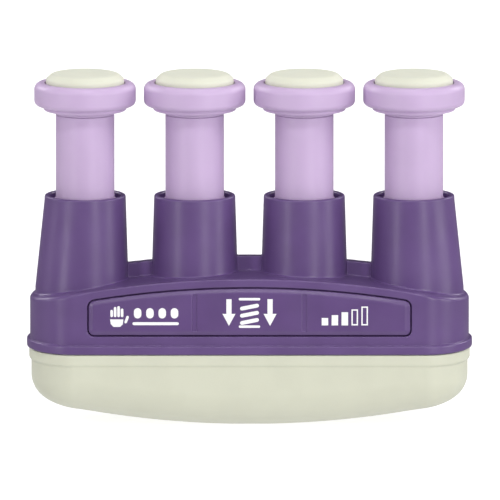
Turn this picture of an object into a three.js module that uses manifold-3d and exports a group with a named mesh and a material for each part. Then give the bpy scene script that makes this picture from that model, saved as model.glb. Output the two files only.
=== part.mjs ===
// Finger exerciser: four spring-loaded finger pistons in one hand-held body.
// Millimetres. +Z is up, the pistons stand in a row along X, and the front is at -Y.
// The origin is the centre of the flat land under the palm bar.

import * as THREE from 'three';
import { mergeVertices } from 'three/addons/utils/BufferGeometryUtils.js';
import Module from 'manifold-3d';

const wasm = await Module();
wasm.setup();

// ---------------------------------------------------------------- driving dimensions

const pistonPitch = 21.9;
const pistonX = [-1.5, -0.5, 0.5, 1.5].map((step) => step * pistonPitch);
const restGap = 0.1;

// Plan view of every body layer: straight front and back, half-ellipse ends.
const straightHalf = 35.05;
const flange = { halfWidth: 44.55, halfDepth: 12.7, bottom: 15, top: 16.8 };
const wall = { halfWidth: 43.9, halfDepth: 12.1 };
const cavity = { halfWidth: 42.3, halfDepth: 10.1 };

const deck = { top: 30.25, radius: 198, thickness: 1.8 };
const web = { height: 2.95, halfThickness: 1.2 };

const tower = {
  top: 45.5,
  topRadius: 8.1,
  footRadius: 8.65,
  footHeight: 28,
  buriedHeight: 22,
  rimRound: 0.4,
  mouthRadius: 7.1,
  mouthDepth: 3,
  boreRadius: 6.45,
  stopHeight: 27,
  stopRadius: 7.6,
  endFlare: 1.3,
  flareMargin: 0.8,
};

const panel = {
  halfWidth: 32.1,
  bottom: 18.9,
  belowDeck: 1.9,
  corner: 1.1,
  gap: 0.25,
  backY: 11.15,
  edgeY: 12.0,
  faceY: 12.45,
  bevel: 0.85,
  recessY: 11.1,
  grooveWidth: 0.5,
  grooveDepth: 0.18,
};

// Palm bar: soft grip outside, hard tray inside, both with the same curved underside.
const bar = {
  halfWidth: 43.65,
  halfDepth: 12.3,
  archRadius: 189.5,
  landHalf: 4,
  endRound: 4.1,
  edgeRound: 7,
  bandHalfWidth: 44.1,
  bandHalfDepth: 12.55,
  bandBottom: 12.5,
};
const gripWall = 1.4;
const trayWall = 1.3;
const trayTop = 14.8;
const tongue = { halfWidth: 41.9, halfDepth: 9.85, wall: 1.1, bottom: 11.8, top: 17 };

const springSeat = { height: 6.6, radius: 5, postRadius: 3, postTop: 14, postChamfer: 1 };
const spring = { meanRadius: 3.9, wireRadius: 0.47, activeTurns: 10, closedPitch: 1.15 };

const screw = {
  x: pistonPitch,
  y: 5.6,
  headRadius: 2,
  headHeight: 1.4,
  headChamfer: 0.5,
  slotLength: 2.2,
  slotWidth: 0.5,
  slotDepth: 0.8,
  shankRadius: 1.1,
  seat: 8.5,
  tip: 20,
  tipLength: 1.5,
  tipRadius: 0.3,
  headGap: 0.3,
  shankGap: 0.2,
  pilotGap: 0.05,
  bossRadius: 2.8,
  trayBossRadius: 3.3,
  bossMeeting: 12,
};
const screwPlaces = [[-1, -1], [1, -1], [-1, 1], [1, 1]].map(([sx, sy]) => [sx * screw.x, sy * screw.y]);

const stem = {
  radius: 5.85,
  skirtRadius: 6.2,
  skirtTop: 44.9,
  footRadius: 7.2,
  footBottom: 25.4,
  footThickness: 1.5,
  springBore: 4.6,
  springStop: 44,
  upperBore: 3.2,
  upperBoreBottom: 46,
  spigotRadius: 4.6,
  spigotTop: 64.7,
};

const cap = {
  collarRadius: 6,
  collarBottom: 61.8,
  neckRadius: 8.3,
  neckBottom: 62.6,
  radius: 10.15,
  bottom: 63.5,
  bottomEdge: 0.5,
  top: 68.2,
  topEdge: 0.7,
  socketRadius: 4.75,
  socketTop: 64.9,
  recessRadius: 8.05,
  recessFloor: 66.2,
};
const pad = { radius: 7.8, top: 70, shoulder: 68.9, plateau: 6.6 };

const roundSegments = 22;
const smallRoundSegments = 12;
const farAway = 60;
// How far an added feature runs into the wall that it joins.
const weldDepth = 0.5;

const lilac = plastic(0xcdb5d8, 0.42);
const purple = plastic(0x69547f, 0.4);
const palePad = plastic(0xece9da, 0.75);
const gripCream = plastic(0xd8d8c6, 0.7);
const darkTray = plastic(0x4b3c5c, 0.55);
const steel = new THREE.MeshStandardMaterial({ color: 0xb8bcc2, roughness: 0.3, metalness: 1 });

function plastic(color, roughness) {
  return new THREE.MeshStandardMaterial({ color, roughness, metalness: 0 });
}

// ---------------------------------------------------------------- solids from geometries

// Turn a closed geometry into a solid that can be joined and cut.
function toSolid(geometry) {
  geometry.deleteAttribute('normal');
  geometry.deleteAttribute('uv');
  const merged = mergeVertices(geometry, 1e-4);
  const corners = merged.index.array;
  const kept = [];
  for (let i = 0; i < corners.length; i += 3) {
    const [a, b, c] = [corners[i], corners[i + 1], corners[i + 2]];
    if (a !== b && b !== c && c !== a) kept.push(a, b, c);
  }
  const vertProperties = new Float32Array(merged.attributes.position.array);
  const triVerts = new Uint32Array(kept);
  return new wasm.Manifold(new wasm.Mesh({ numProp: 3, vertProperties, triVerts }));
}

function toGeometry(solid) {
  const mesh = solid.getMesh();
  const geometry = new THREE.BufferGeometry();
  geometry.setAttribute('position', new THREE.BufferAttribute(mesh.vertProperties, mesh.numProp));
  geometry.setIndex(new THREE.BufferAttribute(mesh.triVerts, 1));
  geometry.computeVertexNormals();
  return geometry;
}

// A solid of revolution about a vertical axis, from [radius, height] pairs.
function turned(profile, [x, y] = [0, 0], segments = roundSegments) {
  const points = profile.map(([radius, height]) => new THREE.Vector2(radius, height));
  const geometry = new THREE.LatheGeometry(points, segments);
  geometry.rotateX(Math.PI / 2);
  geometry.translate(x, y, 0);
  return geometry;
}

function post(radius, bottom, top, place, segments) {
  return toSolid(turned([[0, bottom], [radius, bottom], [radius, top], [0, top]], place, segments));
}

// A plan outline raised from one height to another.
function slab(outline, bottom, top) {
  const geometry = new THREE.ExtrudeGeometry(outline, {
    depth: top - bottom,
    bevelEnabled: false,
    curveSegments: 6,
  });
  geometry.translate(0, 0, bottom);
  return toSolid(geometry);
}

// A front-view outline swept along Y, from the back face to the front face.
function sweptAcross(outline, halfDepth, curveSegments = 12) {
  const geometry = new THREE.ExtrudeGeometry(outline, {
    depth: 2 * halfDepth,
    bevelEnabled: false,
    curveSegments,
  });
  geometry.rotateX(Math.PI / 2);
  geometry.translate(0, halfDepth, 0);
  return toSolid(geometry);
}

function block(sizeX, sizeY, sizeZ, x, y, z) {
  const geometry = new THREE.BoxGeometry(sizeX, sizeY, sizeZ);
  geometry.translate(x, y, z);
  return toSolid(geometry);
}

function planOutline(halfWidth, halfDepth) {
  const end = halfWidth - straightHalf;
  const quarter = Math.PI / 2;
  const outline = new THREE.Shape();
  outline.moveTo(-straightHalf, -halfDepth);
  outline.lineTo(straightHalf, -halfDepth);
  outline.absellipse(straightHalf, 0, end, halfDepth, -quarter, quarter);
  outline.lineTo(-straightHalf, halfDepth);
  outline.absellipse(-straightHalf, 0, end, halfDepth, quarter, 3 * quarter);
  return outline;
}

// ---------------------------------------------------------------- housing

const deckCentre = deck.top - deck.radius;

function deckHeight(x, offset = 0) {
  return deckCentre + Math.sqrt((deck.radius + offset) ** 2 - x ** 2);
}

// Everything below an arch that runs parallel to the deck, at an offset from it.
function underArch(offset, halfWidth, halfDepth) {
  const radius = deck.radius + offset;
  const start = Math.acos(halfWidth / radius);
  const outline = new THREE.Shape();
  outline.moveTo(-halfWidth, 0);
  outline.lineTo(halfWidth, 0);
  outline.lineTo(halfWidth, deckHeight(halfWidth, offset));
  outline.absarc(0, deckCentre, radius, start, Math.PI - start);
  outline.lineTo(-halfWidth, 0);
  return sweptAcross(outline, halfDepth);
}

function towerProfile() {
  return [
    [0, tower.buriedHeight],
    [tower.footRadius, tower.buriedHeight],
    [tower.footRadius, tower.footHeight],
    [tower.topRadius, tower.top - tower.rimRound],
    [tower.topRadius - tower.rimRound, tower.top],
    [0, tower.top],
  ];
}

// The two end towers lean outwards at the foot: a sheared copy of the tower fills the flare.
function towerFlare(x) {
  const side = Math.sign(x);
  const lean = -side * tower.endFlare / (tower.top - tower.footHeight);
  const geometry = turned(towerProfile());
  geometry.translate(0, 0, -tower.top);
  geometry.applyMatrix4(new THREE.Matrix4().makeShear(0, 0, 0, 0, lean, 0));
  geometry.translate(x, 0, tower.top);
  const widest = wall.halfWidth - tower.flareMargin;
  return toSolid(geometry).intersect(block(2 * widest, farAway, farAway * 2, 0, 0, 0));
}

function towerBore(x) {
  return toSolid(turned([
    [0, flange.top],
    [tower.stopRadius, flange.top],
    [tower.stopRadius, tower.stopHeight],
    [tower.boreRadius, tower.stopHeight],
    [tower.boreRadius, tower.top - tower.mouthDepth],
    [tower.mouthRadius, tower.top - tower.mouthDepth],
    [tower.mouthRadius, tower.top + 1],
    [0, tower.top + 1],
  ], [x, 0]));
}

function panelOutline(margin) {
  const side = panel.halfWidth + margin;
  const bottom = panel.bottom - margin;
  const offset = margin - panel.belowDeck;
  const corner = panel.corner + margin;
  const sideTop = deckHeight(side, offset);
  const arcEnd = side - corner;
  const start = Math.acos(arcEnd / (deck.radius + offset));
  const outline = new THREE.Shape();
  outline.moveTo(corner - side, bottom);
  outline.lineTo(side - corner, bottom);
  outline.quadraticCurveTo(side, bottom, side, bottom + corner);
  outline.lineTo(side, sideTop - corner);
  outline.quadraticCurveTo(side, sideTop, arcEnd, deckHeight(arcEnd, offset));
  outline.absarc(0, deckCentre, deck.radius + offset, start, Math.PI - start);
  outline.quadraticCurveTo(-side, sideTop, -side, sideTop - corner);
  outline.lineTo(-side, bottom + corner);
  outline.quadraticCurveTo(-side, bottom, corner - side, bottom);
  return outline;
}

function makeHousing() {
  const { halfWidth, halfDepth } = wall;
  const walls = slab(planOutline(halfWidth, halfDepth), flange.top - 1, deck.top + 1);
  let shell = slab(planOutline(flange.halfWidth, flange.halfDepth), flange.bottom, flange.top);
  shell = shell.add(walls.intersect(underArch(0, farAway, farAway)));
  shell = shell.add(underArch(web.height, pistonX[3], web.halfThickness)
    .intersect(block(farAway * 2, farAway, farAway, 0, 0, farAway / 2 + flange.top)));
  for (const x of pistonX) {
    shell = shell.add(toSolid(turned(towerProfile(), [x, 0])));
  }
  for (const x of [pistonX[0], pistonX[3]]) {
    shell = shell.add(towerFlare(x));
  }

  const hollow = slab(planOutline(cavity.halfWidth, cavity.halfDepth), flange.bottom - 1, deck.top);
  shell = shell.subtract(hollow.intersect(underArch(-deck.thickness, farAway, farAway)));
  for (const x of pistonX) {
    shell = shell.add(post(tower.footRadius, tower.stopHeight, deckHeight(x) - weldDepth, [x, 0]));
  }
  for (const place of screwPlaces) {
    const roof = deckHeight(screw.x) - weldDepth;
    const foot = screw.bossMeeting + restGap;
    shell = shell.add(post(screw.bossRadius, foot, roof, place, smallRoundSegments));
  }

  for (const x of pistonX) {
    shell = shell.subtract(towerBore(x));
  }
  for (const place of screwPlaces) {
    const pilot = screw.shankRadius + screw.pilotGap;
    const foot = screw.bossMeeting - 1;
    shell = shell.subtract(post(pilot, foot, screw.tip + 1, place, smallRoundSegments));
  }
  const recess = sweptAcross(panelOutline(panel.gap), farAway);
  const frontSlice = block(farAway * 2, farAway, farAway * 2, 0, -farAway / 2 - panel.recessY, 0);
  const rearSlice = block(farAway * 2, farAway, farAway * 2, 0, farAway / 2 + panel.recessY, 0);
  return shell.subtract(recess.intersect(frontSlice)).subtract(recess.intersect(rearSlice));
}

// Inlay panel with a bevelled face and two thin upright grooves, in place in the front wall.
function makePanel() {
  const bevelHeight = panel.faceY - panel.edgeY;
  const geometry = new THREE.ExtrudeGeometry(panelOutline(-panel.bevel), {
    depth: panel.edgeY,
    bevelThickness: bevelHeight,
    bevelSize: panel.bevel,
    bevelSegments: 1,
    curveSegments: 8,
  });
  geometry.rotateX(Math.PI / 2);
  let body = toSolid(geometry);
  body = body.intersect(block(farAway * 2, farAway, farAway * 2, 0, -farAway / 2 - panel.backY, 0));
  const top = deck.top - panel.belowDeck;
  const middle = (panel.bottom + top) / 2;
  const length = top - panel.bottom - 2 * panel.bevel;
  for (const x of [-pistonPitch / 2, pistonPitch / 2]) {
    const groove = block(panel.grooveWidth, 2 * panel.grooveDepth, length, x, -panel.faceY, middle);
    body = body.subtract(groove);
  }
  return body;
}

// ---------------------------------------------------------------- palm bar

// Front view of the palm bar shrunk by an inset: flat land, long curve, round ends.
function barOutline(inset, top) {
  const radius = bar.archRadius - inset;
  const landDrop = bar.archRadius - Math.sqrt(bar.archRadius ** 2 - bar.landHalf ** 2);
  const centre = bar.archRadius - landDrop;
  const round = bar.endRound - inset;
  const roundX = bar.halfWidth - bar.endRound;
  const roundZ = centre - Math.sqrt((bar.archRadius - bar.endRound) ** 2 - roundX ** 2);
  const tangent = Math.atan2(roundZ - centre, roundX);
  const landAngle = Math.atan2(-Math.sqrt(radius ** 2 - bar.landHalf ** 2), bar.landHalf);
  const mirror = (angle) => -Math.PI - angle;
  const outline = new THREE.Shape();
  outline.absarc(0, centre, radius, landAngle, tangent);
  outline.absarc(roundX, roundZ, round, tangent, 0);
  outline.lineTo(roundX + round, top);
  outline.lineTo(-roundX - round, top);
  outline.absarc(-roundX, roundZ, round, -Math.PI, mirror(tangent));
  outline.absarc(0, centre, radius, mirror(tangent), mirror(landAngle));
  return outline;
}

// The bar's cross-section, with both long lower edges rounded.
function edgeRounder(inset, top) {
  const half = bar.halfDepth - inset;
  const round = bar.edgeRound - inset;
  const outline = new THREE.Shape();
  outline.absarc(half - round, bar.edgeRound, round, -Math.PI / 2, 0);
  outline.lineTo(half, top);
  outline.lineTo(-half, top);
  outline.absarc(round - half, bar.edgeRound, round, Math.PI, 1.5 * Math.PI);
  const geometry = new THREE.ExtrudeGeometry(outline, {
    depth: 2 * farAway,
    bevelEnabled: false,
    curveSegments: 4,
  });
  geometry.rotateX(Math.PI / 2);
  geometry.rotateZ(Math.PI / 2);
  geometry.translate(-farAway, 0, 0);
  return toSolid(geometry);
}

function barBlock(inset, top) {
  const plan = slab(planOutline(bar.halfWidth - inset, bar.halfDepth - inset), -1, top);
  return plan
    .intersect(sweptAcross(barOutline(inset, top + 1), bar.halfDepth + 1, 6))
    .intersect(edgeRounder(inset, top + 1));
}

function makePalmGrip() {
  const top = flange.bottom - restGap;
  const band = slab(planOutline(bar.bandHalfWidth, bar.bandHalfDepth), bar.bandBottom, top);
  return barBlock(0, top).add(band).subtract(barBlock(gripWall, top + 1));
}

function makeTray() {
  const inset = gripWall + restGap;
  let tray = barBlock(inset, trayTop).subtract(barBlock(inset + trayWall, trayTop + 1));
  const { halfWidth, halfDepth } = tongue;
  const rim = slab(planOutline(halfWidth, halfDepth), tongue.bottom, tongue.top)
    .subtract(slab(planOutline(halfWidth - tongue.wall, halfDepth - tongue.wall), 0, tongue.top + 1));
  tray = tray.add(rim);
  const floor = inset + trayWall / 2;
  for (const x of pistonX) {
    const seat = turned([
      [0, floor],
      [springSeat.radius, floor],
      [springSeat.radius, springSeat.height],
      [springSeat.postRadius, springSeat.height],
      [springSeat.postRadius, springSeat.postTop - springSeat.postChamfer],
      [springSeat.postRadius - springSeat.postChamfer, springSeat.postTop],
      [0, springSeat.postTop],
    ], [x, 0]);
    tray = tray.add(toSolid(seat).intersect(barBlock(floor, farAway)));
  }
  for (const place of screwPlaces) {
    const boss = post(screw.trayBossRadius, floor, screw.bossMeeting, place, smallRoundSegments);
    const headHole = post(screw.headRadius + screw.headGap, 0, screw.seat, place, smallRoundSegments);
    const shankHole = post(screw.shankRadius + screw.shankGap, 0, farAway, place, smallRoundSegments);
    tray = tray.add(boss.intersect(barBlock(floor, farAway)));
    tray = tray.subtract(headHole).subtract(shankHole);
  }
  return tray;
}

function makeScrew(place) {
  const headTop = screw.seat - restGap;
  const headBottom = headTop - screw.headHeight;
  const body = toSolid(turned([
    [0, headBottom],
    [screw.headRadius - screw.headChamfer, headBottom],
    [screw.headRadius, headBottom + screw.headChamfer],
    [screw.headRadius, headTop],
    [screw.shankRadius, headTop],
    [screw.shankRadius, screw.tip - screw.tipLength],
    [screw.tipRadius, screw.tip],
    [0, screw.tip],
  ], place, smallRoundSegments));
  const { slotLength, slotWidth, slotDepth } = screw;
  const [x, y] = place;
  return body
    .subtract(block(slotLength, slotWidth, 2 * slotDepth, x, y, headBottom))
    .subtract(block(slotWidth, slotLength, 2 * slotDepth, x, y, headBottom));
}

// ---------------------------------------------------------------- pistons

function makeStem(x) {
  const footTop = stem.footBottom + stem.footThickness;
  const shoulder = cap.collarBottom - restGap;
  return toSolid(turned([
    [0, stem.springStop],
    [stem.springBore, stem.springStop],
    [stem.springBore, stem.footBottom],
    [stem.footRadius, stem.footBottom],
    [stem.footRadius, footTop],
    [stem.skirtRadius, footTop],
    [stem.skirtRadius, stem.skirtTop],
    [stem.radius, stem.skirtTop],
    [stem.radius, shoulder],
    [stem.spigotRadius, shoulder],
    [stem.spigotRadius, stem.spigotTop],
    [stem.upperBore, stem.spigotTop],
    [stem.upperBore, stem.upperBoreBottom],
    [0, stem.upperBoreBottom],
  ], [x, 0]));
}

function makeCap(x) {
  return toSolid(turned([
    [0, cap.socketTop],
    [cap.socketRadius, cap.socketTop],
    [cap.socketRadius, cap.collarBottom],
    [cap.collarRadius, cap.collarBottom],
    [cap.collarRadius, cap.neckBottom],
    [cap.neckRadius, cap.neckBottom],
    [cap.neckRadius, cap.bottom],
    [cap.radius - cap.bottomEdge, cap.bottom],
    [cap.radius, cap.bottom + cap.bottomEdge],
    [cap.radius, cap.top - cap.topEdge],
    [cap.radius - cap.topEdge, cap.top],
    [cap.recessRadius, cap.top],
    [cap.recessRadius, cap.recessFloor],
    [0, cap.recessFloor],
  ], [x, 0]));
}

function makePad(x) {
  return toSolid(turned([
    [0, cap.recessFloor + restGap],
    [pad.radius, cap.recessFloor + restGap],
    [pad.radius, pad.shoulder],
    [pad.plateau, pad.top],
    [0, pad.top],
  ], [x, 0]));
}

// Centre line of a compression spring with one closed turn at each end.
class SpringLine extends THREE.Curve {
  constructor(x, bottom, top) {
    super();
    this.x = x;
    this.bottom = bottom;
    this.top = top;
    this.turns = spring.activeTurns + 2;
  }

  getPoint(t, target = new THREE.Vector3()) {
    const turn = t * this.turns;
    const angle = 2 * Math.PI * turn;
    const activeRise = this.top - this.bottom - 2 * spring.closedPitch;
    const active = Math.min(Math.max(turn - 1, 0), spring.activeTurns) / spring.activeTurns;
    const closed = Math.min(turn, 1) + Math.max(turn - 1 - spring.activeTurns, 0);
    return target.set(
      this.x + spring.meanRadius * Math.cos(angle),
      spring.meanRadius * Math.sin(angle),
      this.bottom + activeRise * active + spring.closedPitch * closed,
    );
  }
}

function makeSpring(x) {
  const clear = spring.wireRadius + restGap;
  const line = new SpringLine(x, springSeat.height + clear, stem.springStop - clear);
  const section = new THREE.Shape();
  section.absarc(0, 0, spring.wireRadius, 0, 2 * Math.PI);
  const sidesPerHalf = 2;
  const stepsPerTurn = 7;
  return toSolid(new THREE.ExtrudeGeometry(section, {
    steps: stepsPerTurn * line.turns,
    curveSegments: sidesPerHalf,
    extrudePath: line,
  }));
}

// ---------------------------------------------------------------- assembly

const exerciser = new THREE.Group();

function addPiece(parent, name, solid, material) {
  const mesh = new THREE.Mesh(toGeometry(solid), material);
  mesh.name = name;
  parent.add(mesh);
  return mesh;
}

addPiece(exerciser, 'housing', makeHousing(), purple);
addPiece(exerciser, 'front_panel', makePanel(), purple);
addPiece(exerciser, 'rear_panel', makePanel(), purple).rotation.z = Math.PI;
addPiece(exerciser, 'palm_grip', makePalmGrip(), gripCream);
addPiece(exerciser, 'base_tray', makeTray(), darkTray);

screwPlaces.forEach((place, index) => {
  addPiece(exerciser, `case_screw_${index + 1}`, makeScrew(place), steel);
});

pistonX.forEach((x, index) => {
  const piston = new THREE.Group();
  const number = index + 1;
  addPiece(piston, `piston_stem_${number}`, makeStem(x), lilac);
  addPiece(piston, `finger_cap_${number}`, makeCap(x), lilac);
  addPiece(piston, `finger_pad_${number}`, makePad(x), palePad);
  exerciser.add(piston);
  addPiece(exerciser, `spring_${number}`, makeSpring(x), steel);
});

export default exerciser;
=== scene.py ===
import math

import bpy
import numpy as np
from mathutils import Matrix, Vector


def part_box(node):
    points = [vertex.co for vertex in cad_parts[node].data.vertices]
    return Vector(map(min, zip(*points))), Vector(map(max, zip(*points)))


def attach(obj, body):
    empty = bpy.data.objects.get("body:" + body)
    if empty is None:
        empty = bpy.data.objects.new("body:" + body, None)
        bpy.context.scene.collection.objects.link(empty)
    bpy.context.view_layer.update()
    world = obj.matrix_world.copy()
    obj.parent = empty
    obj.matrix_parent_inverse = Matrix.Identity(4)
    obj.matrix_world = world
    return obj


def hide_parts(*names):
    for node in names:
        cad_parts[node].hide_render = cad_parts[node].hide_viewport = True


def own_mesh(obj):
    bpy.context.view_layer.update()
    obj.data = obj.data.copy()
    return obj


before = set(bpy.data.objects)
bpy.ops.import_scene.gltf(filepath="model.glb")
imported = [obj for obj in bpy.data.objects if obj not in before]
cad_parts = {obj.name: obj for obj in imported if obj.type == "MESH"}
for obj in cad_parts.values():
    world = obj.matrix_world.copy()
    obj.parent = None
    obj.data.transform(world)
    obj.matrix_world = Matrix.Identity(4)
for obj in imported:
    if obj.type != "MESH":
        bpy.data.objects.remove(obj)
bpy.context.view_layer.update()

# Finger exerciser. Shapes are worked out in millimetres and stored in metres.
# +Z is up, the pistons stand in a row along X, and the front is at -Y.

MM = 0.001
CASE = "case"


def node_box(node):
    """Lowest and highest corner of a CAD node, in millimetres."""
    low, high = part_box(node)
    return np.array(low) / MM, np.array(high) / MM


# ------------------------------------------------------------ sizes

HOUSING_LOW, HOUSING_HIGH = node_box("housing")
GRIP_LOW, GRIP_HIGH = node_box("palm_grip")
CLEARANCE = 0.1
PISTONS = [1, 2, 3, 4]
PISTON_X = [sum(c[0] for c in node_box(f"piston_stem_{n}")) / 2 for n in PISTONS]
INNER_X, OUTER_X = PISTON_X[2], PISTON_X[3]
PITCH = OUTER_X - INNER_X

STRAIGHT_HALF = 35.05
FLANGE_HALF = (HOUSING_HIGH[0], HOUSING_HIGH[1])
FLANGE_BOTTOM = GRIP_HIGH[2] + CLEARANCE
FLANGE_TOP = 16.8
WALL_HALF = (43.9, 12.1)
CAVITY_HALF = (42.3, 10.1)

DECK_TOP = 30.25
DECK_RADIUS = 198.0
DECK_THICKNESS = 1.8
DECK_EDGE = 0.3
DECK_END_EDGE = 0.7
DECK_EDGE_BLEND = (29.0, 38.0)
WEB_HEIGHT = 2.95
WEB_HALF = 1.2

TOWER_TOP = HOUSING_HIGH[2]
TOWER_TOP_RADIUS = 8.1
TOWER_TAPER = 0.0315
TOWER_FLARE = 1.3
TOWER_RIM = 0.35
TOWER_FILLET = 0.3
MOUTH_RADIUS = 7.1
MOUTH_DEPTH = 3.0
BORE_RADIUS = 6.45
STOP_HEIGHT = 27.0
STOP_RADIUS = 7.6
SLEEVE_RADIUS = 8.65

PANEL_LOW, PANEL_HIGH = node_box("rear_panel")
PANEL_HALF = PANEL_HIGH[0]
PANEL_BOTTOM = PANEL_LOW[2]
PANEL_BELOW_DECK = 1.9
PANEL_CORNER = 1.1
PANEL_GAP = 0.25
PANEL_BACK, PANEL_FACE = PANEL_LOW[1], PANEL_HIGH[1]
PANEL_EDGE = PANEL_FACE - 0.45
PANEL_BEVEL = 0.9
RECESS_DEPTH = 11.1
GROOVE_HALF = 0.42
GROOVE_DEPTH = 0.18

GRIP_HALF = (43.65, 12.3)
GRIP_BAND_HALF = (GRIP_HIGH[0], GRIP_HIGH[1])
GRIP_BAND_BOTTOM = GRIP_HIGH[2] - 2.4
GRIP_WALL = 1.4
ARCH_RADIUS = 189.5
LAND_HALF = 4.0
GRIP_EDGE = 7.0
GRIP_END_EDGE = 4.1
GRIP_EDGE_BLEND = (31.0, 43.0)

TRAY_LOW, TRAY_HIGH = node_box("base_tray")
TRAY_WALL = 1.3
TRAY_TOP = GRIP_HIGH[2] - CLEARANCE
TONGUE_HALF = (41.9, 9.85)
TONGUE_WALL = 1.1
TONGUE_BOTTOM = 11.8
SEAT_HEIGHT = 6.6
SEAT_RADIUS = 5.0
POST_RADIUS = 3.0
POST_TOP = 14.0

SCREW_X, SCREW_Y = PITCH, 5.6
SCREW_SEAT = 8.5
SCREW_TIP = 21.0
HOUSING_BOSS = (2.8, 12.1, 27.9)
PILOT_RADIUS = 1.15
TRAY_BOSS_RADIUS = 3.3
TRAY_BOSS_TOP = 12.0
SHANK_HOLE = 1.3
HEAD_HOLE = 2.3

STEM_RADIUS = 5.85
SKIRT_RADIUS = 6.2
SKIRT_TOP = 44.9
FOOT_RADIUS = 7.2
FOOT_THICKNESS = 1.5
SPRING_BORE = 4.6
SPRING_STOP = 44.0
UPPER_BORE = 3.2
UPPER_BORE_BOTTOM = 46.0
SPIGOT_RADIUS = 4.6

SOCKET_RADIUS = 4.75
SOCKET_TOP = 64.9
COLLAR_RADIUS = 6.0
NECK_RADIUS = 8.3
NECK_BOTTOM = 62.6
CAP_RADIUS = 10.15
CAP_BOTTOM = 63.5
CAP_RECESS_RADIUS = 8.05
PAD_RADIUS = 7.8
PAD_SHOULDER = 68.9
PAD_PLATEAU = 6.6


# ------------------------------------------------------------ distance fields, in millimetres

def join(a, b, radius):
    """Both solids, with a round fillet of the given radius where they meet."""
    u = np.maximum(radius - a, 0)
    v = np.maximum(radius - b, 0)
    return np.maximum(radius, np.minimum(a, b)) - np.sqrt(u * u + v * v)


def common(a, b, radius):
    """What the two solids share, with its edge rounded."""
    return -join(-a, -b, radius)


def cut(a, b, radius=0.1):
    """The first solid without the second, with the cut's edge rounded."""
    return common(a, -b, radius)


def blend(value, start, end):
    """Smooth step from 0 at start to 1 at end."""
    t = np.clip((value - start) / (end - start), 0, 1)
    return t * t * (3 - 2 * t)


def plan(x, y, half, inset=0.0):
    """Plan outline: straight front and back, half-ellipse ends."""
    end = half[0] - STRAIGHT_HALF - inset
    depth = half[1] - inset
    u = np.maximum(np.abs(x) - STRAIGHT_HALF, 0) / end
    v = np.abs(y) / depth + 1e-9
    reach = np.sqrt(u * u + v * v)
    slope = np.sqrt((u / end) ** 2 + (v / depth) ** 2)
    return (reach - 1) * reach / slope


def under_deck(x, z, offset):
    """Everything below an arch parallel to the deck."""
    return np.hypot(x, z - DECK_TOP + DECK_RADIUS) - DECK_RADIUS - offset


def tower(x, y, z, centre, flare):
    """A tapered guide tower; an end tower also leans outwards on its outer side."""
    radius = TOWER_TOP_RADIUS + (TOWER_TOP - z) * TOWER_TAPER
    flare_top = TOWER_TOP - 1
    lean = flare * np.clip((flare_top - z) / (flare_top - STOP_HEIGHT), 0, 1)
    local = x - centre
    stretch = np.where(local > 0, radius / (radius + lean), 1.0)
    side = np.hypot(local * stretch, y) - radius
    return common(side, z - TOWER_TOP, TOWER_RIM)


def panel_outline(x, z, margin):
    """Panel's outline seen from the front, grown by the margin."""
    upright = np.maximum(PANEL_BOTTOM - margin - z, under_deck(x, z, margin - PANEL_BELOW_DECK))
    return common(upright, np.abs(x) - PANEL_HALF - margin, PANEL_CORNER + margin)


def housing_outside(x, y, z):
    """Walls, arched deck, towers, web and flange, without the hollow inside."""
    edge = DECK_EDGE + (DECK_END_EDGE - DECK_EDGE) * blend(x, *DECK_EDGE_BLEND)
    shell = common(plan(x, y, WALL_HALF), under_deck(x, z, 0), edge)
    for centre, flare in ((INNER_X, 0.0), (OUTER_X, TOWER_FLARE)):
        shell = join(shell, tower(x, y, z, centre, flare), TOWER_FILLET)
    web = common(y - WEB_HALF, under_deck(x, z, WEB_HEIGHT), 0.2)
    shell = join(shell, np.maximum(web, x - OUTER_X), 0.15)
    shell = join(shell, common(plan(x, y, FLANGE_HALF), z - FLANGE_TOP, 0.3), 0.05)
    return common(shell, FLANGE_BOTTOM - z, 0.25)


def housing_field(x, y, z):
    x, y = np.abs(x), np.abs(y)
    shell = housing_outside(x, y, z)
    hollow = np.maximum(plan(x, y, CAVITY_HALF), under_deck(x, z, -DECK_THICKNESS))
    for centre in (INNER_X, OUTER_X):
        sleeve = np.maximum(np.hypot(x - centre, y) - SLEEVE_RADIUS, STOP_HEIGHT - z)
        hollow = np.maximum(hollow, -sleeve)
    shell = np.maximum(shell, -hollow)
    screw = np.hypot(x - SCREW_X, y - SCREW_Y)
    boss_radius, boss_foot, boss_top = HOUSING_BOSS
    boss = np.maximum(screw - boss_radius, np.maximum(boss_foot - z, z - boss_top))
    shell = join(shell, boss, 0.3)
    shell = np.maximum(shell, PILOT_RADIUS - np.hypot(screw, np.maximum(z - SCREW_TIP, 0)))

    for centre in (INNER_X, OUTER_X):
        across = np.hypot(x - centre, y)
        bore = np.minimum(across - BORE_RADIUS, np.maximum(across - STOP_RADIUS, z - STOP_HEIGHT))
        mouth = np.maximum(across - MOUTH_RADIUS, TOWER_TOP - MOUTH_DEPTH - z)
        shell = cut(shell, np.minimum(bore, mouth), 0.4)
    recess = np.maximum(panel_outline(x, z, PANEL_GAP), RECESS_DEPTH - y)
    return cut(shell, recess, 0.18)


def rear_panel_field(x, y, z):
    """Bevelled inlay with two thin upright grooves."""
    outline = panel_outline(x, z, 0)
    slope = math.atan2(PANEL_FACE - PANEL_EDGE, PANEL_BEVEL)
    bevel = (y - PANEL_EDGE) * math.cos(slope) + outline * math.sin(slope)
    body = common(outline, common(bevel, y - PANEL_FACE, 0.12), 0.12)
    groove_end = outline + PANEL_BEVEL
    groove = np.maximum(np.abs(np.abs(x) - PITCH / 2) - GROOVE_HALF, groove_end)
    groove = np.maximum(groove, PANEL_FACE - GROOVE_DEPTH - y)
    return np.maximum(cut(body, groove, 0.17), PANEL_BACK - y)


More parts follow.
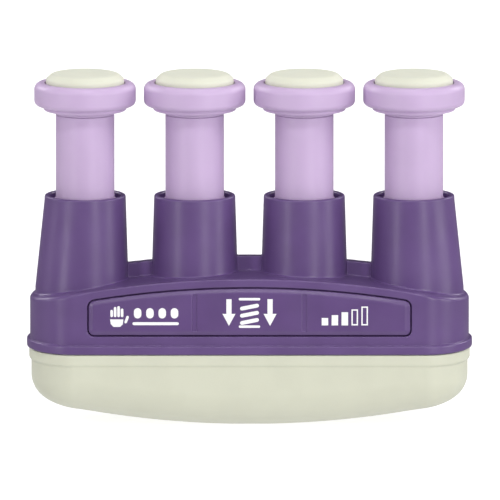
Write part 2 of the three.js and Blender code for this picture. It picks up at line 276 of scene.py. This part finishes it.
def bar_field(x, y, z, inset):
    """The palm bar without its band: plan outline, long curved underside, round edges."""
    drop = ARCH_RADIUS - math.sqrt(ARCH_RADIUS ** 2 - LAND_HALF ** 2)
    arch = np.hypot(x, z - ARCH_RADIUS + drop) - ARCH_RADIUS
    under = np.maximum(arch, -z)
    edge = GRIP_EDGE + (GRIP_END_EDGE - GRIP_EDGE) * blend(np.abs(x), *GRIP_EDGE_BLEND)
    return common(plan(x, y, GRIP_HALF), under, edge) + inset


def palm_grip_field(x, y, z):
    """Soft skin of constant wall: the palm bar and its upper band, hollowed for the tray."""
    bar = bar_field(x, y, z, 0)
    band = common(plan(x, y, GRIP_BAND_HALF), GRIP_BAND_BOTTOM - z, 0.5)
    body = join(bar, band, 0.08)
    body = common(body, z - GRIP_HIGH[2], 0.2)
    return np.maximum(body, -bar_field(x, y, z, GRIP_WALL))


def tray_field(x, y, z):
    """Hard tray: shell, tongue ring, spring seats with guide posts, and screw towers."""
    inset = GRIP_WALL + CLEARANCE
    x, y = np.abs(x), np.abs(y)
    block = bar_field(x, y, z, inset)
    tray = common(block, z - TRAY_TOP, 0.2)
    tray = np.maximum(tray, -bar_field(x, y, z, inset + TRAY_WALL))
    ring = common(plan(x, y, TONGUE_HALF), -plan(x, y, TONGUE_HALF, TONGUE_WALL), 0.2)
    middle = (TRAY_HIGH[2] + TONGUE_BOTTOM) / 2
    ring = common(ring, np.abs(z - middle) - (TRAY_HIGH[2] - middle), 0.2)
    tray = join(tray, ring, 0.2)
    for centre in (INNER_X, OUTER_X):
        across = np.hypot(x - centre, y)
        seat = common(across - SEAT_RADIUS, z - SEAT_HEIGHT, 0.2)
        guide = common(across - POST_RADIUS, z - POST_TOP, 0.9)
        tray = join(tray, np.maximum(np.minimum(seat, guide), block + 0.3), 0.3)
    screw = np.hypot(x - SCREW_X, y - SCREW_Y)
    boss = common(screw - TRAY_BOSS_RADIUS, z - TRAY_BOSS_TOP, 0.2)
    boss = np.maximum(boss, block + 0.3)
    tray = join(tray, boss, 0.3)
    hole = np.minimum(screw - SHANK_HOLE, np.maximum(screw - HEAD_HOLE, z - SCREW_SEAT))
    return cut(tray, hole, 0.1)


# ------------------------------------------------------------ meshes from fields

def surface_net(values, low, step):
    """Points and quads of the zero surface of a sampled field."""
    shape = np.array(values.shape) - 1
    rings, points = [], []
    for axis in range(3):
        lower = [slice(None)] * 3
        upper = [slice(None)] * 3
        lower[axis], upper[axis] = slice(None, -1), slice(1, None)
        start, end = values[tuple(lower)], values[tuple(upper)]
        edge = np.argwhere((start < 0) != (end < 0))
        first = start[tuple(edge.T)]
        last = end[tuple(edge.T)]
        point = edge.astype(float)
        point[:, axis] += first / (first - last)
        ring = np.repeat(edge[:, None, :], 4, axis=1)
        second, third = (axis + 1) % 3, (axis + 2) % 3
        ring[:, [1, 2], second] -= 1
        ring[:, [2, 3], third] -= 1
        ring[first >= 0] = ring[first >= 0][:, ::-1]
        rings.append(ring)
        points.append(point)
    rings = np.concatenate(rings)
    points = np.repeat(np.concatenate(points)[:, None, :], 4, axis=1).reshape(-1, 3)
    cells = (rings[..., 0] * shape[1] + rings[..., 1]) * shape[2] + rings[..., 2]
    _, quads = np.unique(cells, return_inverse=True)
    quads = quads.reshape(-1)
    count = np.bincount(quads)
    centres = np.stack([np.bincount(quads, points[:, k]) / count for k in range(3)], axis=1)
    return centres * step + low, quads.reshape(-1, 4)


def gradient(field, points):
    """Slope of the field at the points, by central differences."""
    reach = 0.02
    parts = []
    for axis in range(3):
        shift = np.zeros(3)
        shift[axis] = reach
        ahead = field(*(points + shift).T)
        behind = field(*(points - shift).T)
        parts.append((ahead - behind) / (2 * reach))
    return np.stack(parts, axis=1)


def settle(field, points, step, rounds=4):
    """Move points onto the zero surface."""
    for _ in range(rounds):
        slope = gradient(field, points)
        value = field(*points.T)
        size = np.maximum((slope ** 2).sum(axis=1), 0.05)
        move = np.clip(value / size, -step / 2, step / 2)
        points = points - slope * move[:, None]
    return points


def mesh_points(mesh):
    flat = np.zeros(len(mesh.vertices) * 3, np.float32)
    mesh.vertices.foreach_get("co", flat)
    return flat.reshape(-1, 3).astype(float)


def show_normals(mesh, normals):
    mesh.shade_smooth()
    size = np.linalg.norm(normals, axis=1, keepdims=True)
    mesh.normals_split_custom_set_from_vertices((normals / np.maximum(size, 1e-9)).tolist())


def new_piece(name, points, faces):
    mesh = bpy.data.meshes.new(name)
    mesh.from_pydata((np.asarray(points) * MM).tolist(), [], faces)
    piece = bpy.data.objects.new(name, mesh)
    bpy.context.scene.collection.objects.link(piece)
    return piece


def field_piece(name, field, low, high, step, share):
    """A piece whose surface is the zero of a field, thinned to a share of its triangles."""
    low = np.asarray(low, float) - 2.5 * step
    count = np.ceil((np.asarray(high) - low) / step).astype(int) + 3
    axes = [low[k] + step * np.arange(count[k]) for k in range(3)]
    values = field(axes[0][:, None, None], axes[1][None, :, None], axes[2][None, None, :])
    values = np.broadcast_to(values, count)
    points, quads = surface_net(values, low, step)
    piece = new_piece(name, settle(field, points, step), quads.tolist())
    if share < 1:
        thin = piece.modifiers.new("thin", "DECIMATE")
        thin.ratio = share
        evaluated = piece.evaluated_get(bpy.context.evaluated_depsgraph_get())
        mesh = bpy.data.meshes.new_from_object(evaluated)
        piece.modifiers.clear()
        piece.data = mesh
    mesh = piece.data
    mesh.name = name
    points = settle(field, mesh_points(mesh) / MM, step / 2, 3)
    mesh.vertices.foreach_set("co", (points * MM).astype(np.float32).ravel())
    mesh.update()
    show_normals(mesh, gradient(field, points))
    return piece


# ------------------------------------------------------------ turned pieces

def rounded_profile(corners, steps=6):
    """Points with normals along a profile of (radius, height, corner round) in millimetres."""
    spots = [np.array(c[:2], float) for c in corners]
    result = []

    def outward(direction):
        return np.array([direction[1], -direction[0]])

    def unit(vector):
        return vector / np.linalg.norm(vector)

    count = len(corners)
    for i in range(count):
        here = spots[i]
        round_radius = corners[i][2]
        if i in (0, count - 1):
            along = unit(spots[1] - here) if i == 0 else unit(here - spots[-2])
            result.append((*here, *outward(along)))
            continue
        before, after = unit(here - spots[i - 1]), unit(spots[i + 1] - here)
        turn = math.acos(np.clip(before @ after, -1, 1))
        back = round_radius * math.tan(turn / 2)
        n0, n1 = outward(before), outward(after)
        side = 1 if before[0] * after[1] - before[1] * after[0] > 0 else -1
        centre = here - before * back - n0 * round_radius * side
        for k in range(steps + 1):
            t = k / steps
            normal = unit(n0 * math.sin((1 - t) * turn) + n1 * math.sin(t * turn))
            spot = centre + normal * round_radius * side
            result.append((*spot, *normal))
    return result


def turned_piece(name, x, corners, steps=6, segments=96):
    """A solid of revolution about a vertical axis at x. The profile starts and ends on the axis."""
    profile = rounded_profile(corners, steps)
    points, normals, faces = [], [], []
    rings = []
    for radius, height, nr, nz in profile:
        if radius < 1e-6:
            rings.append([len(points)])
            points.append((x, 0, height))
            normals.append((0, 0, 1 if nz > 0 else -1))
            continue
        rings.append(list(range(len(points), len(points) + segments)))
        for s in range(segments):
            angle = 2 * math.pi * s / segments
            c, d = math.cos(angle), math.sin(angle)
            points.append((x + radius * c, radius * d, height))
            normals.append((nr * c, nr * d, nz))
    for low, high in zip(rings, rings[1:]):
        for s in range(segments):
            t = (s + 1) % segments
            if len(low) == 1:
                faces.append((low[0], high[t], high[s]))
            elif len(high) == 1:
                faces.append((low[s], low[t], high[0]))
            else:
                faces.append((low[s], low[t], high[t], high[s]))
    piece = new_piece(name, points, faces)
    show_normals(piece.data, np.array(normals, float))
    return piece


def place(piece, body, material, slot, *nodes):
    """Material, body, and the CAD nodes that the piece replaces. The slot argument is not used."""
    piece.data.materials.clear()
    piece.data.materials.append(material)
    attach(piece, body)
    if nodes:
        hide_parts(*nodes)
    return piece


# ------------------------------------------------------------ materials

class Nodes:
    """Small helper that adds nodes to a new material."""

    def __init__(self, name):
        self.material = bpy.data.materials.new(name)
        self.material.use_nodes = True
        self.tree = self.material.node_tree
        self.shader = self.tree.nodes["Principled BSDF"]
        self.place = self.add("ShaderNodeTexCoord").outputs["Object"]

    def add(self, kind, **settings):
        node = self.tree.nodes.new(kind)
        for key, value in settings.items():
            setattr(node, key, value)
        return node

    def link(self, source, target):
        self.tree.links.new(source, target)

    def noise(self, size_mm, detail=3.0, stretch=None):
        """Noise between 0 and 1 whose features are about size_mm across."""
        node = self.add("ShaderNodeTexNoise")
        node.inputs["Scale"].default_value = 1 / (size_mm * MM)
        node.inputs["Detail"].default_value = detail
        if stretch is None:
            self.link(self.place, node.inputs["Vector"])
        else:
            mapping = self.add("ShaderNodeMapping")
            mapping.inputs["Scale"].default_value = stretch
            self.link(self.place, mapping.inputs["Vector"])
            self.link(mapping.outputs["Vector"], node.inputs["Vector"])
        return node.outputs["Fac"]

    def spread(self, value, low, high, new_low, new_high):
        node = self.add("ShaderNodeMapRange")
        node.interpolation_type = "SMOOTHSTEP"
        node.inputs["From Min"].default_value = low
        node.inputs["From Max"].default_value = high
        node.inputs["To Min"].default_value = new_low
        node.inputs["To Max"].default_value = new_high
        self.link(value, node.inputs["Value"])
        return node.outputs["Result"]

    def mix(self, factor, first, second):
        node = self.add("ShaderNodeMix", data_type="RGBA")
        self.link(factor, node.inputs["Factor"])
        for socket, colour in ((node.inputs[6], first), (node.inputs[7], second)):
            if isinstance(colour, tuple):
                socket.default_value = (*colour, 1)
            else:
                self.link(colour, socket)
        return node.outputs[2]

    def bumps(self, layers):
        """Bump layers, each (height, distance in millimetres, strength), one on top of another."""
        normal = None
        for height, distance, strength in layers:
            node = self.add("ShaderNodeBump")
            node.inputs["Distance"].default_value = distance * MM
            node.inputs["Strength"].default_value = strength
            self.link(height, node.inputs["Height"])
            if normal is not None:
                self.link(normal, node.inputs["Normal"])
            normal = node.outputs["Normal"]
        self.link(normal, self.shader.inputs["Normal"])


def linear(red, green, blue):
    """Linear colour from 0 to 255 display values."""
    def one(value):
        value /= 255
        return value / 12.92 if value <= 0.04045 else ((value + 0.055) / 1.055) ** 2.4
    return one(red), one(green), one(blue)


def moulded_plastic(name, colour, roughness, spread=0.05, grain_mm=0.16, grain=0.25, glow=0.0):
    """Satin moulded plastic: fine spark texture, slow flow marks, slight colour drift."""
    n = Nodes(name)
    lighter = tuple(min(1, c * (1 + spread)) for c in colour)
    darker = tuple(c * (1 - spread) for c in colour)
    n.link(n.mix(n.spread(n.noise(9), 0.35, 0.65, 0, 1), darker, lighter), n.shader.inputs["Base Color"])
    patches = n.spread(n.noise(5, 4), 0.3, 0.7, roughness - 0.05, roughness + 0.05)
    n.link(patches, n.shader.inputs["Roughness"])
    scuffs = n.noise(0.5, 2, stretch=(1, 1, 9))
    n.bumps([(n.noise(grain_mm, 2), 0.012, grain), (scuffs, 0.006, 0.3), (n.noise(14, 1), 0.05, 0.25)])
    if glow:
        n.shader.inputs["Subsurface Weight"].default_value = glow
        n.shader.inputs["Subsurface Radius"].default_value = (1.0, 0.75, 1.0)
        n.shader.inputs["Subsurface Scale"].default_value = 2.2 * MM
    return n.material


def soft_rubber(name, colour, roughness, grain_mm, glow):
    """Soft elastomer: matte pebbled skin, faint sheen and slightly darker handling marks."""
    n = Nodes(name)
    darker = tuple(c * 0.97 for c in colour)
    n.link(n.mix(n.spread(n.noise(7, 4), 0.35, 0.65, 0, 1), darker, colour), n.shader.inputs["Base Color"])
    patches = n.spread(n.noise(3, 3), 0.3, 0.7, roughness - 0.06, roughness + 0.06)
    n.link(patches, n.shader.inputs["Roughness"])
    n.bumps([(n.noise(grain_mm, 3), 0.03, 0.35), (n.noise(1.1, 2), 0.03, 0.2)])
    n.shader.inputs["Subsurface Weight"].default_value = glow
    n.shader.inputs["Subsurface Radius"].default_value = (1.0, 0.9, 0.7)
    n.shader.inputs["Subsurface Scale"].default_value = 1.5 * MM
    n.shader.inputs["Sheen Weight"].default_value = 0.12
    n.shader.inputs["Sheen Roughness"].default_value = 0.5
    return n.material


def steel(name, colour, roughness):
    """Bright steel with fine scratches and uneven polish."""
    n = Nodes(name)
    darker = tuple(c * 0.8 for c in colour)
    n.link(n.mix(n.noise(2, 4), darker, colour), n.shader.inputs["Base Color"])
    patches = n.spread(n.noise(0.6, 3), 0.3, 0.7, roughness - 0.08, roughness + 0.08)
    n.link(patches, n.shader.inputs["Roughness"])
    n.bumps([(n.noise(0.25, 2), 0.008, 0.3)])
    n.shader.inputs["Metallic"].default_value = 1.0
    return n.material


PURPLE = moulded_plastic("purple_plastic", linear(98, 74, 125), 0.36)
PURPLE_PANEL = moulded_plastic("panel_plastic", linear(94, 69, 121), 0.36, grain_mm=0.22)
LILAC = moulded_plastic("lilac_plastic", linear(199, 175, 211), 0.42, 0.02, glow=0.15)
PAD = soft_rubber("pad_rubber", linear(218, 219, 202), 0.6, 0.2, 0.15)
GRIP = soft_rubber("grip_rubber", linear(212, 213, 194), 0.55, 0.25, 0.1)
PRINT = moulded_plastic("print_ink", linear(250, 250, 250), 0.5, 0.01)
TRAY = moulded_plastic("tray_plastic", linear(75, 60, 92), 0.5)
SPRING_STEEL = steel("spring_steel", linear(190, 194, 200), 0.28)
SCREW_STEEL = steel("screw_steel", linear(178, 180, 184), 0.35)


# ------------------------------------------------------------ pieces

def make_housing():
    step = 0.3
    piece = field_piece("housing_shell", housing_field, HOUSING_LOW, HOUSING_HIGH, step, share=0.44)
    place(piece, CASE, PURPLE, "purple_shell", "housing")


def make_panels():
    step = 0.18
    rear = field_piece("rear_inlay", rear_panel_field, PANEL_LOW, PANEL_HIGH, step, share=0.7)
    place(rear, CASE, PURPLE_PANEL, "purple_shell", "rear_panel")
    mesh = rear.data.copy()
    normals = gradient(rear_panel_field, mesh_points(mesh) / MM) * (-1, -1, 1)
    mesh.transform(Matrix.Rotation(math.pi, 4, "Z"))
    mesh.name = "front_inlay"
    show_normals(mesh, normals)
    front = bpy.data.objects.new("front_inlay", mesh)
    bpy.context.scene.collection.objects.link(front)
    place(front, CASE, PURPLE_PANEL, "purple_shell", "front_panel")


def make_grip():
    step = 0.35
    piece = field_piece("palm_grip_skin", palm_grip_field, GRIP_LOW, GRIP_HIGH, step, share=0.4)
    place(piece, CASE, GRIP, "cream_grip", "palm_grip")


def make_piston(number, x):
    """Stem, cap and pad. A profile point is (radius, height, corner round)."""
    body = f"piston_{number}"
    stem_low, stem_high = node_box(f"piston_stem_{number}")
    cap_low, cap_high = node_box(f"finger_cap_{number}")
    pad_low, pad_high = node_box(f"finger_pad_{number}")
    foot, spigot = stem_low[2], stem_high[2]
    collar, cap_top = cap_low[2], cap_high[2]
    floor = pad_low[2] - CLEARANCE
    shoulder = collar - CLEARANCE / 2
    stem = turned_piece(f"stem_{number}", x, [
        (0, SPRING_STOP, 0),
        (SPRING_BORE, SPRING_STOP, 0.3),
        (SPRING_BORE, foot, 0.15),
        (FOOT_RADIUS, foot, 0.25),
        (FOOT_RADIUS, foot + FOOT_THICKNESS, 0.25),
        (SKIRT_RADIUS, foot + FOOT_THICKNESS, 0.25),
        (SKIRT_RADIUS, SKIRT_TOP, 0.3),
        (STEM_RADIUS, SKIRT_TOP, 0.1),
        (STEM_RADIUS, shoulder, 0.15),
        (SPIGOT_RADIUS, shoulder, 0.1),
        (SPIGOT_RADIUS, spigot, 0.2),
        (UPPER_BORE, spigot, 0.15),
        (UPPER_BORE, UPPER_BORE_BOTTOM, 0.3),
        (0, UPPER_BORE_BOTTOM, 0),
    ])
    place(stem, body, LILAC, "lilac_piston", f"piston_stem_{number}")
    cap = turned_piece(f"cap_{number}", x, [
        (0, SOCKET_TOP, 0),
        (SOCKET_RADIUS, SOCKET_TOP, 0.2),
        (SOCKET_RADIUS, collar, 0.1),
        (COLLAR_RADIUS, collar, 0.3),
        (COLLAR_RADIUS, NECK_BOTTOM, 0.15),
        (NECK_RADIUS, NECK_BOTTOM, 0.4),
        (NECK_RADIUS, CAP_BOTTOM, 0.1),
        (CAP_RADIUS, CAP_BOTTOM, 1.1),
        (CAP_RADIUS, cap_top, 1.4),
        (CAP_RECESS_RADIUS, cap_top, 0.2),
        (CAP_RECESS_RADIUS, floor, 0.2),
        (0, floor, 0),
    ])
    place(cap, body, LILAC, "lilac_piston", f"finger_cap_{number}")
    pad = turned_piece(f"pad_{number}", x, [
        (0, pad_low[2], 0),
        (PAD_RADIUS, pad_low[2], 0.2),
        (PAD_RADIUS, PAD_SHOULDER, 0.9),
        (PAD_PLATEAU, pad_high[2], 1.6),
        (0, pad_high[2], 0),
    ])
    place(pad, body, PAD, "cream_pad", f"finger_pad_{number}")


def make_spring(number, x):
    """A closed-end compression spring, with one closed turn at each end."""
    low, high = node_box(f"spring_{number}")
    wire, mean = 0.47, 3.9
    bottom, top = low[2] + wire, high[2] - wire
    active, closed_pitch = 10, 1.15
    turns = active + 2
    steps, sides = 40 * turns, 14
    points, faces = [], []
    for i in range(steps + 1):
        turn = turns * i / steps
        working = min(max(turn - 1, 0), active) / active
        closed = min(turn, 1) + max(turn - 1 - active, 0)
        z = bottom + (top - bottom - 2 * closed_pitch) * working + closed_pitch * closed
        angle = 2 * math.pi * turn
        out = np.array([math.cos(angle), math.sin(angle), 0])
        for s in range(sides):
            around = 2 * math.pi * s / sides
            spot = out * (mean + wire * math.cos(around))
            points.append((x + spot[0], spot[1], z + wire * math.sin(around)))
    for i in range(steps):
        for s in range(sides):
            t = (s + 1) % sides
            a, b = i * sides, (i + 1) * sides
            faces.append((a + s, a + t, b + t, b + s))
    faces.append(tuple(range(sides))[::-1])
    faces.append(tuple(steps * sides + s for s in range(sides)))
    piece = new_piece(f"coil_{number}", points, faces)
    piece.data.shade_smooth()
    piece.data.set_sharp_from_angle(angle=math.radians(40))
    place(piece, CASE, SPRING_STEEL, "spring_steel", f"spring_{number}")
    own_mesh(piece)


def make_tray():
    step = 0.4
    piece = field_piece("inner_tray", tray_field, TRAY_LOW, TRAY_HIGH, step, share=0.3)
    place(piece, CASE, TRAY, "dark_tray", "base_tray")


def make_screw(number):
    """Self-tapping screw: pan head with a cross recess, and a thread on the shank."""
    low, high = node_box(f"case_screw_{number}")
    x, y = (low[:2] + high[:2]) / 2
    head_height = 1.4
    head_top = low[2] + head_height
    pitch, core, crest, tip = 0.9, 0.78, 1.1, 1.5
    segments, rise = 36, 0.09
    recess_radius, recess_depth, recess_wave = 1.45, 0.75, 0.35
    head = [(0.25, 0.7), (recess_radius, 0.0), (1.8, 0.22), (2.0, 0.6), (2.0, 1.3), (1.9, head_height)]
    points, faces = [(x, y, low[2] + recess_depth)], []
    rings = [(radius, low[2] + up, 0.0) for radius, up in head]
    height = head_top
    while height < high[2]:
        point = min(1.0, (high[2] - height) / tip)
        rings.append((core * (0.3 + 0.7 * point), height, (crest - core) * point))
        height += rise
    for radius, height, thread in rings:
        for k in range(segments):
            angle = 2 * math.pi * k / segments
            phase = ((height - head_top) / pitch - k / segments) % 1
            reach = radius + thread * max(0, 1 - abs(phase - 0.5) * 5)
            if radius == recess_radius:
                reach -= recess_wave * math.cos(2 * angle) ** 2
            points.append((x + reach * math.cos(angle), y + reach * math.sin(angle), height))
    for i in range(len(rings) - 1):
        for k in range(segments):
            a, b = 1 + i * segments, 1 + (i + 1) * segments
            t = (k + 1) % segments
            faces.append((a + k, a + t, b + t, b + k))
    faces += [(0, 1 + (k + 1) % segments, 1 + k) for k in range(segments)]
    last = 1 + (len(rings) - 1) * segments
    faces.append(tuple(range(last, last + segments)))
    piece = new_piece(f"screw_{number}", points, faces)
    piece.data.shade_smooth()
    piece.data.set_sharp_from_angle(angle=math.radians(50))
    place(piece, CASE, SCREW_STEEL, "screw_steel", f"case_screw_{number}")


# Printed marks: plain pictograms, no lettering. Outlines are in the panel's own plane (x, z).

def pill(x0, z0, x1, z1, width, steps=8):
    """Outline of a straight stroke with round ends."""
    along = math.atan2(z1 - z0, x1 - x0)
    outline = []
    for cx, cz, start in ((x1, z1, along - math.pi / 2), (x0, z0, along + math.pi / 2)):
        for k in range(steps + 1):
            angle = start + math.pi * k / steps
            outline.append((cx + width / 2 * math.cos(angle), cz + width / 2 * math.sin(angle)))
    return outline


def box_outline(x0, z0, x1, z1):
    return [(x0, z0), (x1, z0), (x1, z1), (x0, z1)]


def frame_parts(x0, z0, x1, z1, line):
    """The four sides of a hollow rectangle."""
    return [
        box_outline(x0, z0, x1, z0 + line),
        box_outline(x0, z1 - line, x1, z1),
        box_outline(x0, z0 + line, x0 + line, z1 - line),
        box_outline(x1 - line, z0 + line, x1, z1 - line),
    ]


def hand_mark(x, z, size):
    """An open hand as a stencil: palm, four fingers and a thumb with thin gaps between them."""
    palm = [(-0.36, -0.14), (-0.33, -0.36), (-0.2, -0.5), (0.12, -0.5), (0.24, -0.38), (0.27, -0.14)]
    parts = [palm]
    finger = 0.125
    for k, top in enumerate((0.26, 0.4, 0.44, 0.32)):
        across = -0.285 + 0.165 * k
        parts.append(pill(across, 0.03, across, top, finger))
    parts.append(pill(0.38, -0.27, 0.47, -0.03, finger))
    return [[(x + u * size, z + w * size) for u, w in part] for part in parts]


def arrow_down(x, top, bottom, width):
    neck, head = width * 0.2, (top - bottom) * 0.45
    return [
        (x - neck, top), (x - neck, bottom + head), (x - width / 2, bottom + head), (x, bottom),
        (x + width / 2, bottom + head), (x + neck, bottom + head), (x + neck, top),
    ]


def make_print(name, outlines):
    """Thin ink on the front panel's face."""
    back, front = -PANEL_FACE + 0.01, -PANEL_FACE - 0.015
    points, faces = [], []
    for outline in outlines:
        area = sum(a[0] * b[1] - b[0] * a[1] for a, b in zip(outline, outline[1:] + outline[:1]))
        ring = outline if area > 0 else outline[::-1]
        first, count = len(points), len(ring)
        points += [(u, front, w) for u, w in ring] + [(u, back, w) for u, w in ring]
        faces.append(tuple(range(first, first + count)))
        faces.append(tuple(range(first + 2 * count - 1, first + count - 1, -1)))
        for k in range(count):
            t = (k + 1) % count
            faces.append((first + t, first + k, first + count + k, first + count + t))
    piece = new_piece(name, points, faces)
    place(piece, CASE, PRINT, "white_print")


def print_fingers():
    """Left field: a hand, four finger dots and a line under them."""
    middle, hand_size = 22.8, 4.2
    dot_pitch, dot_width, line_width = 2.45, 1.5, 0.6
    outlines = hand_mark(-PITCH - 4.4, middle, hand_size)
    for k in range(4):
        across = -PITCH + 0.2 + dot_pitch * (k - 0.25)
        outlines.append(pill(across, middle + 0.35, across, middle + 0.95, dot_width))
    line = middle - 1.45
    outlines.append(pill(-PITCH - 1.15, line, -PITCH + 7.5, line, line_width))
    make_print("print_fingers", outlines)


def print_press():
    """Middle field: a spring between two plates, with an arrow down on each side."""
    bottom, top = 20.75, 26.3
    turn_pitch, wire = 1.45, 0.78
    plate_half, plate_width = 1.9, 0.5
    outlines = [pill(-1.5, 21.5 + turn_pitch * k, 1.5, 22.1 + turn_pitch * k, wire) for k in range(3)]
    for height in (bottom, top):
        outlines.append(pill(-plate_half, height, plate_half, height, plate_width))
    for across in (-4.1, 4.1):
        outlines.append(arrow_down(across, top, 20.9, 2.6))
    make_print("print_press", outlines)


def print_level():
    """Right field: five rising bars, the first three filled and the last two hollow."""
    bottom, lowest, rise = 21.0, 1.5, 0.58
    width, bar_pitch, line = 1.3, 1.98, 0.26
    outlines = []
    for k in range(5):
        left = PITCH - 4.6 - 2.9 + bar_pitch * k
        top = bottom + lowest + rise * k
        if k < 3:
            outlines.append(box_outline(left, bottom, left + width, top))
        else:
            outlines += frame_parts(left, bottom, left + width, top, line)
    make_print("print_level", outlines)


make_housing()
make_panels()
make_grip()
make_tray()
print_fingers()
print_press()
print_level()
for number, x in zip(PISTONS, PISTON_X):
    make_piston(number, x)
    make_spring(number, x)
    make_screw(number)


# ------------------------------------------------------------ stage, light and camera

def make_stage():
    """Pale round floor that sweeps up into a wall all round. Only the camera sees it."""
    floor, bend, wall, segments = 7.0, 1.5, 5.0, 96
    outline = [(0.5, 0.0), (floor, 0.0)]
    for k in range(1, 13):
        angle = math.pi / 2 * k / 12
        outline.append((floor + bend * math.sin(angle), bend - bend * math.cos(angle)))
    outline.append((floor + bend, wall))
    points, faces = [(0, 0, 0)], []
    for radius, height in outline:
        for k in range(segments):
            angle = 2 * math.pi * k / segments
            points.append((radius * math.cos(angle), radius * math.sin(angle), height))
    for k in range(segments):
        faces.append((0, 1 + k, 1 + (k + 1) % segments))
    for i in range(len(outline) - 1):
        for k in range(segments):
            t = (k + 1) % segments
            a, b = 1 + i * segments, 1 + (i + 1) * segments
            faces.append((a + k, b + k, b + t, a + t))
    sweep = new_piece("sweep", np.array(points) / MM, faces)
    sweep.data.shade_smooth()
    n = Nodes("sweep_paper")
    n.link(n.mix(n.noise(40), (0.42, 0.42, 0.42), (0.45, 0.45, 0.45)), n.shader.inputs["Base Color"])
    n.shader.inputs["Roughness"].default_value = 0.9
    n.shader.inputs["Specular IOR Level"].default_value = 0.0
    n.shader.inputs["Emission Color"].default_value = (1, 1, 1, 1)
    n.shader.inputs["Emission Strength"].default_value = 0.75
    sweep.data.materials.append(n.material)
    sweep.visible_diffuse = False
    sweep.visible_glossy = False
    sweep.visible_shadow = False


LIGHT_DISTANCE = 1.2


def add_light(name, azimuth, elevation, size, level):
    """A softbox aimed at the part. Azimuth 0 is the front, and +X is at 90 degrees. A white
    surface that faces a light of level 1 reflects as much as a white emitter of strength 1."""
    azimuth, elevation = math.radians(azimuth), math.radians(elevation)
    toward = Vector((
        math.sin(azimuth) * math.cos(elevation),
        -math.cos(azimuth) * math.cos(elevation),
        math.sin(elevation),
    ))
    data = bpy.data.lights.new(name, "AREA")
    data.shape = "RECTANGLE"
    data.size, data.size_y = size
    data.energy = level * (math.pi * LIGHT_DISTANCE) ** 2
    lamp = bpy.data.objects.new(name, data)
    lamp.location = Vector((0, 0, 0.035)) + toward * LIGHT_DISTANCE
    lamp.rotation_euler = toward.to_track_quat("Z", "Y").to_euler()
    lamp.visible_camera = False
    bpy.context.scene.collection.objects.link(lamp)


def make_world():
    """Dim sky, and below the horizon the glow of a pale table, brightest straight down."""
    world = bpy.data.worlds.new("studio")
    bpy.context.scene.world = world
    world.use_nodes = True
    tree = world.node_tree
    direction = tree.nodes.new("ShaderNodeTexCoord")
    split = tree.nodes.new("ShaderNodeSeparateXYZ")
    ramp = tree.nodes.new("ShaderNodeMapRange")
    ramp.inputs["From Min"].default_value = -1.0
    ramp.inputs["From Max"].default_value = 0.0
    ramp.inputs["To Min"].default_value = 1.2
    ramp.inputs["To Max"].default_value = 0.1
    tree.links.new(direction.outputs["Generated"], split.inputs["Vector"])
    tree.links.new(split.outputs["Z"], ramp.inputs["Value"])
    tree.nodes["Background"].inputs["Color"].default_value = (1, 1, 1, 1)
    tree.links.new(ramp.outputs["Result"], tree.nodes["Background"].inputs["Strength"])


def make_lights():
    add_light("right_bank", 28, 12, (0.26, 0.6), 0.35)
    add_light("right_side", 74, 12, (0.5, 0.7), 0.4)
    add_light("left_strip", -48, 12, (0.12, 0.7), 0.3)
    add_light("left_side", -90, 12, (0.4, 0.7), 0.1)
    add_light("front_top", 0, 46, (0.9, 0.16), 0.28)
    add_light("overhead", 0, 90, (0.9, 0.9), 0.4)
    add_light("back_right", 128, 28, (0.5, 0.5), 0.3)
    add_light("back_left", -128, 28, (0.5, 0.5), 0.3)


def make_camera():
    elevation = math.radians(9.2)
    distance = 4.0
    picture_width = 0.1
    sensor = 36
    target = Vector((0.0001, 0, 0.03422))
    back = Vector((0, -math.cos(elevation), math.sin(elevation)))
    data = bpy.data.cameras.new("camera")
    data.sensor_width = sensor
    data.lens = sensor * distance / picture_width
    data.clip_start, data.clip_end = 0.1, 40
    camera = bpy.data.objects.new("camera", data)
    camera.location = target + back * distance
    camera.rotation_euler = back.to_track_quat("Z", "Y").to_euler()
    bpy.context.scene.collection.objects.link(camera)
    bpy.context.scene.camera = camera


make_stage()
make_world()
make_lights()
make_camera()
bpy.context.scene.view_settings.view_transform = "Standard"

bpy.context.view_layer.update()
